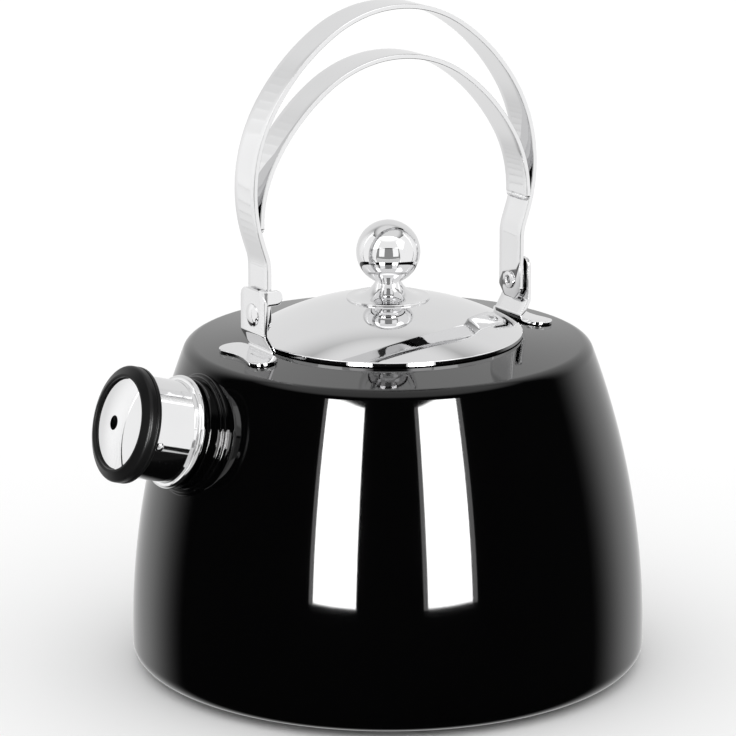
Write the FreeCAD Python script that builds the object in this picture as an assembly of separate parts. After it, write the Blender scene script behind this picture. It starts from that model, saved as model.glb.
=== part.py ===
import FreeCAD, Part
import math
import os

# Stovetop whistling kettle, millimetres.
# Origin on the kettle's axis at the level of the stove, +Z up, spout towards -X.
# The folding bail handle lies in the XZ plane and its hinge line runs along X.

V = FreeCAD.Vector
os.makedirs("parts", exist_ok=True)

# ---- kettle shell -------------------------------------------------------
SHELL_T = 1.0            # wall of the shell
R_WIDE = 100.0           # widest radius, just above the base
Z_WIDE = 8.5             # height of the widest circle
SIDE_R = 327.0           # radius of the bowed side
Z_FLANGE = 2.0           # underside of the turned-in bottom flange
FLANGE_R = 88.0          # inner radius of that flange
BASE_ROUND = Z_WIDE - Z_FLANGE  # outside radius of the bottom corner
SHOULDER_R = 5.0         # outside radius of the shoulder corner
ROOF_SLOPE = 5.0         # degrees, the top rises towards the mouth
ROOF_AT = (52.0, 129.0)  # a point (radius, height) on the top
Z_SHOULDER = 126.5       # height where side and top would meet unrounded
MOUTH_R = 46.0           # inside radius of the mouth collar
MOUTH_BOTTOM = 121.0     # lower edge of the turned-down mouth collar

# ---- base ---------------------------------------------------------------
PAN_T = 1.0
PAN_R = 98.88            # outside of the pan's upturned rim
PAN_TOP = 14.0           # top of the upturned rim
PAN_STEP_R = 83.0        # the middle of the pan is raised inside this radius
PAN_FLOOR = 5.0          # underside of the raised middle
CAP_R = 80.0             # steel cap under the heat spreader
CAP_T = 0.8

# ---- spout, along its own axis s, measured from the shell's surface -------
SPOUT_TILT = 16.0        # degrees above the horizontal
SPOUT_AT = (-86.8, 101.4)  # where the axis meets the outside of the side
TUBE_R = 17.9
TUBE_T = 1.0
TUBE_IN = -6.0
TUBE_OUT = 21.0
FLANGE_T = 2.4           # thickness of the saddle flange
SADDLE_R = 23.3
NECK_R = 20.8
NECK_TOP = 3.6

# ---- whistle ------------------------------------------------------------
SLEEVE_IN = 18.3         # bore, slides over the spout tube
SLEEVE_R = 19.25
SLEEVE_S = (5.2, 29.5)
BEAD_R = 1.6
BEAD_AT = (19.9, 6.9)
GRIP_R = 21.9
GRIP_S = (24.8, 31.3)
GRIP_GROOVE_R = 21.3
GRIP_LIP = (17.35, 30.25)  # the grip's front lip holds the disc on the sleeve
DISC_R = 17.2
DISC_DOME = 2.6
DISC_T = 0.7
WHISTLE_HOLE = 2.75
BACK_DISC_S = (25.6, 26.2)
PIN_R = 0.9              # shank of a pin through the sleeve
PIN_HEAD_R = 2.4         # ball from which the pin's domed head is cut
PIN_AT_S = 22.3
PIN_TURNS = (-100.0, 80.0)  # degrees around the sleeve

# ---- lid ----------------------------------------------------------------
LID_R = 51.8
LID_T = 0.8
LID_RIM = 1.5            # height of the turned-down edge
LID_GAP = 0.35           # air between the edge and the top of the shell
LID_RISE = 13.8          # rise of the dome above the edge
SKIRT_R = 45.1           # locating ring under the lid
SKIRT_T = 0.8
SKIRT_BOTTOM = 122.0

# ---- knob ---------------------------------------------------------------
BALL_R = 12.3
BALL_Z = 161.6
NECK_KNOB_R = 4.9
ROSE_R = 16.1
ROSE_EDGE = 0.8
SCREW_R = 2.0
SCREW_HEAD_R = 3.6
SCREW_HEAD_T = 2.2
SCREW_REACH = 8.5        # length of the screw inside the ball
KNOB_WASHER_R = 6.0
KNOB_WASHER_T = 0.8

# ---- handle -------------------------------------------------------------
STRAP_W = 15.0
STRAP_T = 1.8
PIVOT_Z = 144.0
OUTER_TOP = 257.8
INNER_TOP = 238.8
LEG_END = 7.0            # strap below the hinge line
LEG_CLIP = 4.0           # clipped corners of the strap end
# tangent arcs from the crown down one side: (radius, degrees turned),
# where radius 0 stands for a straight stretch of the given length
OUTER_ARCS = [(52.0, 33.0), (82.0, 25.0), (62.0, 50.0), (0.0, 5.5), (-16.0, -18.0)]
INNER_ARCS = [(52.5, 35.0), (79.0, 25.0), (50.0, 31.5)]

# ---- handle brackets ----------------------------------------------------
PLATE_T = 1.5
PLATE_W = 18.5
PLATE_Z = (137.0, 153.8)
PLATE_ROUND = 4.0
PLATE_GAP = 0.9          # space for the washer between strap and plate
FOOT_IN = 54.0           # foot's inner edge, from the kettle's axis
FOOT_MID = 61.6
FOOT_HALF_W = 5.7
FOOT_HALF_L = 16.5
STOP_Z = (148.8, 154.6)
STOP_REACH = 7.8         # length of the stop tab from the plate's outside
STOP_GAP = 0.35
RIVET_R = 2.5
RIVET_PLAY = 0.05
RIVET_HEAD_R = 4.5
RIVET_DOME_R = 8.6       # ball from which the rivet's domed head is cut
RIVET_DOME = 1.4         # height of that head
RIVET_TAIL_R = 3.5
RIVET_WASHER_R = 5.0
WELD_R = 1.1
WELDS = [(62.0, -12.5), (62.0, 12.5), (60.5, 4.5)]  # (distance from the axis, y)


def save(name, shape):
    """Write one node, after checking that it is made of valid solids."""
    if not shape.isValid() or shape.Volume <= 0:
        raise ValueError("bad shape: " + name)
    shape.exportStep("parts/" + name + ".step")


def loop(points):
    """Closed wire in the XZ plane through (x, z) points."""
    pts = [V(x, 0, z) for x, z in points]
    return Part.makePolygon(pts + [pts[0]])


def spun(points):
    """Solid of revolution about Z of a closed (r, z) outline."""
    return Part.Face(loop(points)).revolve(V(0, 0, 0), V(0, 0, 1), 360)


def spun_edges(edges):
    """Solid of revolution about Z of a closed outline given as edges."""
    return Part.Face(Part.Wire(edges)).revolve(V(0, 0, 0), V(0, 0, 1), 360)


def line(a, b):
    return Part.makeLine(V(a[0], 0, a[1]), V(b[0], 0, b[1]))


def arc(a, m, b):
    return Part.Arc(V(a[0], 0, a[1]), V(m[0], 0, m[1]), V(b[0], 0, b[1])).toShape()


def tube(r_in, r_out, z0, z1):
    outer = Part.makeCylinder(r_out, z1 - z0, V(0, 0, z0))
    return outer.cut(Part.makeCylinder(r_in, z1 - z0, V(0, 0, z0)))


def box(x0, x1, y0, y1, z0, z1):
    return Part.makeBox(x1 - x0, y1 - y0, z1 - z0, V(x0, y0, z0))


def circle_edges(shape, r, z, tol=0.2):
    """Edges of a turned shape lying on the circle of radius r at height z."""
    found = []
    for e in shape.Edges:
        b = e.BoundBox
        if abs(b.ZMin - z) < tol and abs(b.ZMax - z) < tol and abs(b.XMax - r) < tol:
            found.append(e)
    return found


def roof_height(r):
    return ROOF_AT[1] - (r - ROOF_AT[0]) * math.tan(math.radians(ROOF_SLOPE))


def body_solid(grow):
    """Filled outline of the kettle, grown outwards by the given amount."""
    z_low = Z_FLANGE - grow
    side = SIDE_R + grow
    rise = grow / math.cos(math.radians(ROOF_SLOPE))

    def radius(z):
        return R_WIDE - SIDE_R + math.sqrt(side ** 2 - (z - Z_WIDE) ** 2)

    def roof(r):
        return roof_height(r) + rise

    z_top = Z_SHOULDER
    for _ in range(40):
        z_top = roof(radius(z_top))
    r_top = radius(z_top)
    r_low = radius(Z_WIDE)
    corner = BASE_ROUND + grow
    edges = [
        line((0, z_low), (r_low - corner, z_low)),
        arc((r_low - corner, z_low), (r_low - 0.293 * corner, Z_WIDE - 0.707 * corner),
            (r_low, Z_WIDE)),
        arc((r_low, Z_WIDE), (radius(70.0), 70.0), (r_top, z_top)),
        line((r_top, z_top), (ROOF_AT[0], roof(ROOF_AT[0]))),
        line((ROOF_AT[0], roof(ROOF_AT[0])), (0, roof(ROOF_AT[0]))),
        line((0, roof(ROOF_AT[0])), (0, z_low)),
    ]
    solid = spun_edges(edges)
    return solid.makeFillet(SHOULDER_R + grow, circle_edges(solid, r_top, z_top))


def along_spout(shape):
    """Carry a shape turned about Z onto the spout's axis."""
    placed = shape.copy()
    placed.rotate(V(0, 0, 0), V(0, 1, 0), SPOUT_TILT - 90.0)
    placed.translate(V(SPOUT_AT[0], 0, SPOUT_AT[1]))
    return placed


# ---- shell, base and spout ----------------------------------------------
outside = body_solid(0.0)
shell = outside.cut(body_solid(-SHELL_T))
shell = shell.cut(Part.makeCylinder(FLANGE_R, 10.0, V(0, 0, Z_FLANGE - 1.0)))
shell = shell.cut(Part.makeCylinder(MOUTH_R + SHELL_T, 12.0, V(0, 0, MOUTH_BOTTOM)))
collar_top = roof_height(MOUTH_R + SHELL_T) - 0.6
shell = shell.fuse(tube(MOUTH_R, MOUTH_R + SHELL_T, MOUTH_BOTTOM, collar_top + 0.6))
shell = shell.removeSplitter()
bore = along_spout(Part.makeCylinder(TUBE_R, 30.0, V(0, 0, -14.0)))
save("body_shell", shell.cut(bore))

pan_low = Z_FLANGE + SHELL_T
pan = spun([
    (0, PAN_FLOOR), (PAN_STEP_R - 2.0, PAN_FLOOR), (PAN_STEP_R, pan_low),
    (PAN_R - 5.9, pan_low), (PAN_R - 2.0, pan_low + 1.5), (PAN_R, pan_low + 5.6),
    (PAN_R, PAN_TOP), (PAN_R - PAN_T, PAN_TOP), (PAN_R - PAN_T, pan_low + 5.9),
    (PAN_R - 2.8, pan_low + 2.3), (PAN_R - 6.2, pan_low + PAN_T),
    (PAN_STEP_R + 0.5, pan_low + PAN_T), (PAN_STEP_R - 1.5, PAN_FLOOR + PAN_T),
    (0, PAN_FLOOR + PAN_T),
])
save("base_pan", pan)

save("heat_spreader", Part.makeCylinder(CAP_R - CAP_T, PAN_FLOOR - CAP_T, V(0, 0, CAP_T)))
cap = Part.makeCylinder(CAP_R, PAN_FLOOR, V(0, 0, 0))
cap = cap.makeFillet(1.6, circle_edges(cap, CAP_R, 0.0))
save("base_cap", cap.cut(Part.makeCylinder(CAP_R - CAP_T, PAN_FLOOR, V(0, 0, CAP_T))))

tube_solid = tube(TUBE_R - TUBE_T, TUBE_R, TUBE_IN, TUBE_OUT)
save("spout_tube", along_spout(tube_solid))

ring = along_spout(tube(TUBE_R, SADDLE_R, -12.0, 12.0))
saddle = body_solid(FLANGE_T).common(ring)
neck = along_spout(tube(TUBE_R, NECK_R, -12.0, NECK_TOP))
saddle = saddle.fuse(neck).cut(outside).removeSplitter()
save("spout_flange", max(saddle.Solids, key=lambda s: s.Volume))

# ---- whistle ------------------------------------------------------------
sleeve = Part.makeCylinder(SLEEVE_R, SLEEVE_S[1] - SLEEVE_S[0], V(0, 0, SLEEVE_S[0]))
bead = Part.makeTorus(BEAD_AT[0], BEAD_R, V(0, 0, BEAD_AT[1]), V(0, 0, 1))
sleeve = sleeve.fuse(bead).cut(Part.makeCylinder(SLEEVE_IN, 60.0, V(0, 0, -10.0)))
sleeve = sleeve.removeSplitter()

s0, s1 = GRIP_S
grip_in = SLEEVE_R + 0.02
lip_in, lip_s = GRIP_LIP
grip = spun_edges([
    line((grip_in, s0), (GRIP_R - 0.9, s0)),
    arc((GRIP_R - 0.9, s0), (GRIP_R - 0.26, s0 + 0.26), (GRIP_R, s0 + 0.9)),
    line((GRIP_R, s0 + 0.9), (GRIP_R, s0 + 1.6)),
    line((GRIP_R, s0 + 1.6), (GRIP_GROOVE_R, s0 + 1.85)),
    line((GRIP_GROOVE_R, s0 + 1.85), (GRIP_GROOVE_R, s0 + 2.2)),
    line((GRIP_GROOVE_R, s0 + 2.2), (GRIP_R, s0 + 2.45)),
    line((GRIP_R, s0 + 2.45), (GRIP_R, s1 - 2.9)),
    arc((GRIP_R, s1 - 2.9), (GRIP_R - 0.3, s1 - 1.8), (GRIP_R - 1.0, s1 - 1.0)),
    line((GRIP_R - 1.0, s1 - 1.0), (lip_in + 1.0, s1)),
    line((lip_in + 1.0, s1), (lip_in, s1)),
    line((lip_in, s1), (lip_in, lip_s)),
    line((lip_in, lip_s), (grip_in, lip_s)),
    line((grip_in, lip_s), (grip_in, s0)),
])

# domed front disc, its flat edge held between the end of the sleeve and the grip's lip
dome_r = (DISC_R ** 2 + DISC_DOME ** 2) / (2 * DISC_DOME)
dome_at = SLEEVE_S[1] + DISC_T + DISC_DOME - dome_r
ball_out = Part.makeSphere(dome_r, V(0, 0, dome_at))
ball_in = Part.makeSphere(dome_r - DISC_T, V(0, 0, dome_at))
disc = ball_out.cut(ball_in).common(Part.makeCylinder(DISC_R, 10.0, V(0, 0, SLEEVE_S[1])))
disc = disc.fuse(tube(DISC_R - 1.2, SLEEVE_R - 0.05, SLEEVE_S[1], SLEEVE_S[1] + DISC_T))
disc = disc.cut(Part.makeCylinder(WHISTLE_HOLE, 20.0, V(0, 0, 20.0))).removeSplitter()

back = tube(WHISTLE_HOLE - 0.5, SLEEVE_IN - 0.02, BACK_DISC_S[0], BACK_DISC_S[1])
spacer = tube(SLEEVE_IN - 1.0, SLEEVE_IN - 0.02, BACK_DISC_S[1], SLEEVE_S[1])

pins = []
for turn in PIN_TURNS:
    pin = Part.makeCylinder(PIN_R, 1.0, V(SLEEVE_IN + 0.05, 0, 0), V(1, 0, 0))
    head = Part.makeSphere(PIN_HEAD_R, V(SLEEVE_R - 0.9, 0, 0))
    head = head.cut(Part.makeCylinder(SLEEVE_R, 10.0, V(0, 0, -5.0)))
    pin = pin.fuse(head)
    pin.translate(V(0, 0, PIN_AT_S))
    pin.rotate(V(0, 0, 0), V(0, 0, 1), turn)
    pins.append(pin)
    hole = Part.makeCylinder(PIN_R, 3.0, V(SLEEVE_IN - 1.0, 0, PIN_AT_S), V(1, 0, 0))
    hole.rotate(V(0, 0, 0), V(0, 0, 1), turn)
    sleeve = sleeve.cut(hole)

save("whistle_sleeve", along_spout(sleeve))
save("whistle_grip", along_spout(grip))
save("whistle_front_disc", along_spout(disc))
save("whistle_back_disc", along_spout(back))
save("whistle_spacer", along_spout(spacer))
save("whistle_pins", along_spout(Part.makeCompound(pins)))

# ---- lid ----------------------------------------------------------------
rim_low = roof_height(LID_R) + LID_GAP
rim_top = rim_low + LID_RIM
lid_sphere = (LID_R ** 2 + LID_RISE ** 2) / (2 * LID_RISE)
lid_mid = rim_top + LID_RISE - lid_sphere


def dome_height(r, under=0.0):
    """Height of the lid's dome at radius r, at a depth below its outside."""
    return lid_mid + math.sqrt((lid_sphere - under) ** 2 - r ** 2)


r_bend = LID_R - LID_T
lid = spun_edges([
    arc((SCREW_R + 0.1, dome_height(SCREW_R + 0.1)), (30.0, dome_height(30.0)), (LID_R, rim_top)),
    line((LID_R, rim_top), (LID_R, rim_low)),
    line((LID_R, rim_low), (r_bend, rim_low)),
    line((r_bend, rim_low), (r_bend, dome_height(r_bend, LID_T))),
    arc((r_bend, dome_height(r_bend, LID_T)), (30.0, dome_height(30.0, LID_T)),
        (SCREW_R + 0.1, dome_height(SCREW_R + 0.1, LID_T))),
    line((SCREW_R + 0.1, dome_height(SCREW_R + 0.1, LID_T)),
         (SCREW_R + 0.1, dome_height(SCREW_R + 0.1))),
])
lid = lid.makeFillet(0.4, circle_edges(lid, LID_R, rim_top, 0.05))
save("lid_shell", lid)

skirt = tube(SKIRT_R - SKIRT_T, SKIRT_R, SKIRT_BOTTOM, rim_top + LID_RISE)
skirt = skirt.fuse(tube(SKIRT_R - 4.0, SKIRT_R, SKIRT_BOTTOM, SKIRT_BOTTOM + SKIRT_T))
skirt = skirt.common(Part.makeSphere(lid_sphere - LID_T - 0.01, V(0, 0, lid_mid)))
save("lid_skirt", skirt.removeSplitter())

# ---- knob ---------------------------------------------------------------
flat_z = BALL_Z - math.sqrt(BALL_R ** 2 - NECK_KNOB_R ** 2)
ball = Part.makeSphere(BALL_R, V(0, 0, BALL_Z))
ball = ball.cut(Part.makeCylinder(20.0, 20.0, V(0, 0, flat_z - 20.0)))
ball = ball.cut(Part.makeCylinder(SCREW_R + 0.05, 9.0, V(0, 0, flat_z)))
save("knob_ball", ball)

rose_z = dome_height(ROSE_R)
rose_low = rose_z - 10.0
rose = spun_edges([
    line((SCREW_R + 0.1, rose_low), (ROSE_R, rose_low)),
    line((ROSE_R, rose_low), (ROSE_R, rose_z + ROSE_EDGE)),
    arc((ROSE_R, rose_z + ROSE_EDGE), (8.0, rose_z + 2.7), (NECK_KNOB_R, flat_z)),
    line((NECK_KNOB_R, flat_z), (SCREW_R + 0.1, flat_z)),
    line((SCREW_R + 0.1, flat_z), (SCREW_R + 0.1, rose_low)),
])
rose = rose.cut(Part.makeSphere(lid_sphere + 0.01, V(0, 0, lid_mid)))
save("knob_base", max(rose.Solids, key=lambda s: s.Volume))

washer_top = dome_height(KNOB_WASHER_R, LID_T) - 0.02
head_top = washer_top - KNOB_WASHER_T
save("knob_washer", tube(SCREW_R + 0.1, KNOB_WASHER_R, head_top, washer_top))
head_low = head_top - SCREW_HEAD_T
screw = Part.makeCylinder(SCREW_R, flat_z + SCREW_REACH - head_top, V(0, 0, head_top))
screw_head = Part.makeCylinder(SCREW_HEAD_R, SCREW_HEAD_T, V(0, 0, head_low))
screw_head = screw_head.makeFillet(0.8, circle_edges(screw_head, SCREW_HEAD_R, head_low))
slot = box(-4.0, 4.0, -0.5, 0.5, head_low - 0.1, head_top - 1.2)
save("knob_screw", screw.fuse(screw_head).cut(slot).removeSplitter())


# ---- handle straps ------------------------------------------------------
def strap(top, arcs, z_end):
    """Bent strip from a crown at the given height, thickness to the inside.

    Half of it is drawn as a chain of tangent arcs and then mirrored.  The
    chain ends with a straight leg down to z_end unless that is None.
    """
    x, z, turned = 0.0, top, 0.0
    outer, inner = [], []

    def on(cx, cz, r, degrees):
        a = math.radians(degrees)
        return (cx + r * math.sin(a), cz + r * math.cos(a))

    for radius, sweep in arcs:
        a = math.radians(turned)
        if radius == 0:
            ahead = (x + sweep * math.cos(a), z - sweep * math.sin(a))
            drop = (STRAP_T * math.sin(a), STRAP_T * math.cos(a))
            outer.append(line((x, z), ahead))
            inner.append(line((x - drop[0], z - drop[1]), (ahead[0] - drop[0], ahead[1] - drop[1])))
            x, z = ahead
            continue
        cx, cz = x - radius * math.sin(a), z - radius * math.cos(a)
        stations = [turned, turned + sweep / 2, turned + sweep]
        outer.append(arc(*[on(cx, cz, radius, t) for t in stations]))
        inner.append(arc(*[on(cx, cz, radius - STRAP_T, t) for t in stations]))
        turned += sweep
        x, z = on(cx, cz, radius, turned)
    last_out = (x, z)
    a = math.radians(turned)
    last_in = (x - STRAP_T * math.sin(a), z - STRAP_T * math.cos(a))
    if z_end is not None:
        outer.append(line(last_out, (last_out[0], z_end)))
        inner.append(line(last_in, (last_in[0], z_end)))
        last_out, last_in = (last_out[0], z_end), (last_in[0], z_end)
    edges = outer + [line(last_out, last_in)] + inner[::-1]
    edges.append(line((0, top - STRAP_T), (0, top)))
    face = Part.Face(Part.Wire(Part.__sortEdges__(edges)))
    half = face.extrude(V(0, STRAP_W, 0))
    half.translate(V(0, -STRAP_W / 2, 0))
    whole = half.fuse(half.mirror(V(0, 0, 0), V(1, 0, 0)))
    return whole.removeSplitter(), last_out


outer_strap, leg = strap(OUTER_TOP, OUTER_ARCS, PIVOT_Z - LEG_END)
leg_x = leg[0]                 # outside face of the upright leg
w = STRAP_W / 2
z_low = PIVOT_Z - LEG_END
outline = [
    (w, 300.0), (w, z_low + LEG_CLIP), (w - LEG_CLIP, z_low),
    (LEG_CLIP - w, z_low), (-w, z_low + LEG_CLIP), (-w, 300.0),
]
pts = [V(-90.0, y, z) for y, z in outline]
trim = Part.Face(Part.makePolygon(pts + [pts[0]])).extrude(V(180.0, 0, 0))
outer_strap = outer_strap.common(trim)
hinge_bore = Part.makeCylinder(RIVET_R + RIVET_PLAY, 180.0, V(-90.0, 0, PIVOT_Z), V(1, 0, 0))
outer_strap = outer_strap.cut(hinge_bore)
save("handle_outer", outer_strap)

inner_strap, inner_end = strap(INNER_TOP, INNER_ARCS, None)
inner_strap = inner_strap.cut(outer_strap)
save("handle_inner", max(inner_strap.Solids, key=lambda s: s.Volume))

beads = []
for side in (-1, 1):
    x_bead = side * (inner_end[0] - STRAP_T * 0.6)
    length = STRAP_W - 2.0
    rod = Part.makeCylinder(1.5, length, V(x_bead, -length / 2, inner_end[1] - 0.6), V(0, 1, 0))
    rod = rod.makeFillet(0.7, [e for e in rod.Edges if e.BoundBox.YLength < 0.01])
    rod = rod.cut(inner_strap).cut(outer_strap)
    beads.append(max(rod.Solids, key=lambda s: s.Volume))
save("handle_welds", Part.makeCompound(beads))

# ---- handle brackets ----------------------------------------------------
plate_in = leg_x + PLATE_GAP
plate_out = plate_in + PLATE_T


def bracket(with_stop):
    """Bracket on the +X side: upright plate, leaning web and welded foot."""
    half_w = PLATE_W / 2
    z0, z1 = PLATE_Z
    plate = box(plate_in, plate_out, -half_w, half_w, z0, z1)
    corners = [e for e in plate.Edges
               if e.BoundBox.YLength < 0.01 and e.BoundBox.ZLength < 0.01
               and e.BoundBox.ZMin > z1 - 0.01]
    plate = plate.makeFillet(PLATE_ROUND, corners)

    foot = box(0, FOOT_MID - FOOT_IN, -half_w, half_w, 0, PLATE_T)
    span = FOOT_HALF_L - FOOT_HALF_W
    mid = FOOT_MID - FOOT_IN
    foot = foot.fuse(box(mid - FOOT_HALF_W, mid + FOOT_HALF_W, -span, span, 0, PLATE_T))
    for y in (-span, span):
        foot = foot.fuse(Part.makeCylinder(FOOT_HALF_W, PLATE_T, V(mid, y, 0)))
    scallop = Part.makeCylinder(24.0, 3.0, V(mid + FOOT_HALF_W + 22.6, 0, -1.0))
    foot = foot.cut(scallop).removeSplitter()
    for u, y in WELDS:
        foot = foot.cut(Part.makeCylinder(WELD_R, 3.0, V(u - FOOT_IN, y, -1.0)))
    foot.rotate(V(0, 0, 0), V(0, 1, 0), ROOF_SLOPE)
    z_foot = roof_height(FOOT_IN)
    foot.translate(V(FOOT_IN, 0, z_foot))

    web = [(plate_in, z0 + 0.2), (plate_out, z0 - 0.2), (FOOT_IN + 2.6, z_foot + 0.6),
           (FOOT_IN + 0.1, z_foot + 0.2)]
    pts = [V(x, -half_w, z) for x, z in web]
    web_solid = Part.Face(Part.makePolygon(pts + [pts[0]])).extrude(V(0, PLATE_W, 0))
    joined = plate.fuse(web_solid).fuse(foot)

    if with_stop:
        y_in = STRAP_W / 2 + STOP_GAP
        x_end = plate_out - STOP_REACH
        tab = box(x_end, plate_out, y_in, y_in + PLATE_T, STOP_Z[0], STOP_Z[1])
        ends = [e for e in tab.Edges
                if e.BoundBox.XMax < x_end + 0.01 and e.BoundBox.YLength > 1.0]
        tab = tab.makeFillet(2.6, ends)
        joined = joined.fuse(tab)
    joined = joined.cut(Part.makeCylinder(RIVET_R, 20.0, V(50.0, 0, PIVOT_Z), V(1, 0, 0)))
    return joined.removeSplitter()


front = bracket(True)
front.rotate(V(0, 0, 0), V(0, 0, 1), 180.0)
save("bracket_front", front)
save("bracket_rear", bracket(False))

rivets, washers, welds = [], [], []
strap_in = leg_x - STRAP_T
for turn in (0.0, 180.0):
    tail_end = strap_in - 1.0
    shaft_from = strap_in - 0.3
    shaft = Part.makeCylinder(
        RIVET_R, plate_out - shaft_from, V(shaft_from, 0, PIVOT_Z), V(1, 0, 0))
    head = Part.makeSphere(RIVET_DOME_R, V(plate_out + RIVET_DOME - RIVET_DOME_R, 0, PIVOT_Z))
    head = head.common(
        Part.makeCylinder(RIVET_HEAD_R, 4.0, V(plate_out, 0, PIVOT_Z), V(1, 0, 0)))
    tail = Part.makeCylinder(RIVET_TAIL_R, 0.7, V(tail_end, 0, PIVOT_Z), V(1, 0, 0))
    rivet = shaft.fuse(head).fuse(tail)
    rivet = rivet.cut(Part.makeCylinder(1.3, 2.4, V(tail_end - 0.1, 0, PIVOT_Z), V(1, 0, 0)))
    rivet = rivet.removeSplitter()
    washer = Part.makeCylinder(
        RIVET_WASHER_R, PLATE_GAP - 0.1, V(leg_x + 0.1, 0, PIVOT_Z), V(1, 0, 0))
    washer = washer.cut(Part.makeCylinder(RIVET_R, 4.0, V(leg_x - 1.0, 0, PIVOT_Z), V(1, 0, 0)))
    group = [rivet, washer]
    for u, y in WELDS:
        nugget = Part.makeCylinder(WELD_R, PLATE_T - 0.35, V(u - FOOT_IN, y, 0))
        nugget.rotate(V(0, 0, 0), V(0, 1, 0), ROOF_SLOPE)
        nugget.translate(V(FOOT_IN, 0, roof_height(FOOT_IN)))
        group.append(nugget)
    for piece in group:
        piece.rotate(V(0, 0, 0), V(0, 0, 1), turn)
    rivets.append(rivet)
    washers.append(washer)
    welds.extend(group[2:])
save("handle_rivets", Part.makeCompound(rivets))
save("rivet_washers", Part.makeCompound(washers))
save("bracket_welds", Part.makeCompound(welds))
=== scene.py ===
"""Looks of a stovetop whistling kettle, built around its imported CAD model.

The file is laid out as an add-on and run as a script.  Lengths are metres, +Z is up,
the origin is on the kettle's axis where it stands, and the spout points to -X.
"""
import math

import bmesh
import bpy
import numpy as np
from bpy.props import FloatProperty, FloatVectorProperty, PointerProperty
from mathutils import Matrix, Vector


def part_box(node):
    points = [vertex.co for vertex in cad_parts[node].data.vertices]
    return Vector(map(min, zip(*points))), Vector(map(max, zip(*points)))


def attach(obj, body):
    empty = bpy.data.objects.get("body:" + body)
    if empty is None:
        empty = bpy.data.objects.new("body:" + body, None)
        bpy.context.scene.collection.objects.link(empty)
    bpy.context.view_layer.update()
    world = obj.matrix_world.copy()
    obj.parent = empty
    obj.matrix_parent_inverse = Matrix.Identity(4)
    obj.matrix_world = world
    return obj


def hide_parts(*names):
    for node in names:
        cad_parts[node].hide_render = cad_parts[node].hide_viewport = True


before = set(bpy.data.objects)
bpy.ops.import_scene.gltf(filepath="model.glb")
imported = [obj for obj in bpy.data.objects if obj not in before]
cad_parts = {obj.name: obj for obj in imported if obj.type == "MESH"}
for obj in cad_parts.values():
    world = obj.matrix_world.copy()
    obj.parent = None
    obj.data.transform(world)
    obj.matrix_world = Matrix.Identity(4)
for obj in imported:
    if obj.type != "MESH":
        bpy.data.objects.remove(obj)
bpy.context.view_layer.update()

bl_info = {
    "name": "Whistling Kettle",
    "version": (1, 0, 0),
    "blender": (4, 5, 0),
    "location": "3D View > Sidebar > Kettle",
    "description": "Builds the pieces, finishes and studio of a stovetop whistling kettle",
    "category": "Object",
}

MM = 0.001
SUPPORT = 0.08 * MM       # straight stretch kept beside a rounded edge, so flats shade flat
EDGE = 0.3 * MM           # rounding of a strap's edge
SHEET_EDGE = 0.28 * MM    # rounding of a bracket's edge
FIT = 0.02 * MM           # air between two pieces that touch
SCREW_HOLE = 2.2 * MM     # radius of the knob screw's hole
HINGE_HOLE = 2.55 * MM    # radius of the rivet's hole in the strap
RIVET_Z = float(sum(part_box("rivet_washers")[i].z for i in (0, 1)) / 2)
PLATE_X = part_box("rivet_washers")[1].x

# handle curves: tangent arcs from the crown down one side, as (radius, degrees turned);
# radius 0 stands for a straight stretch of the given length
OUTER_ARCS = ((52.0, 33.0), (82.0, 25.0), (62.0, 50.0), (0.0, 5.5), (-16.0, -18.0))
INNER_ARCS = ((52.5, 35.0), (79.0, 25.0), (50.0, 31.5))


# ---------------------------------------------------------------- properties
def length(name, text, default):
    """A length that a user may change, in metres."""
    return FloatProperty(name=name, description=text, default=default, unit="LENGTH", precision=5)


def angle(name, text, degrees):
    """An angle that a user may change, given here in degrees."""
    return FloatProperty(name=name, description=text, default=math.radians(degrees), unit="ROTATION")


def colour(name, text, default):
    """A colour that a user may change."""
    return FloatVectorProperty(name=name, description=text, default=default, size=4,
                               subtype="COLOR", min=0.0, max=1.0)


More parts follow.
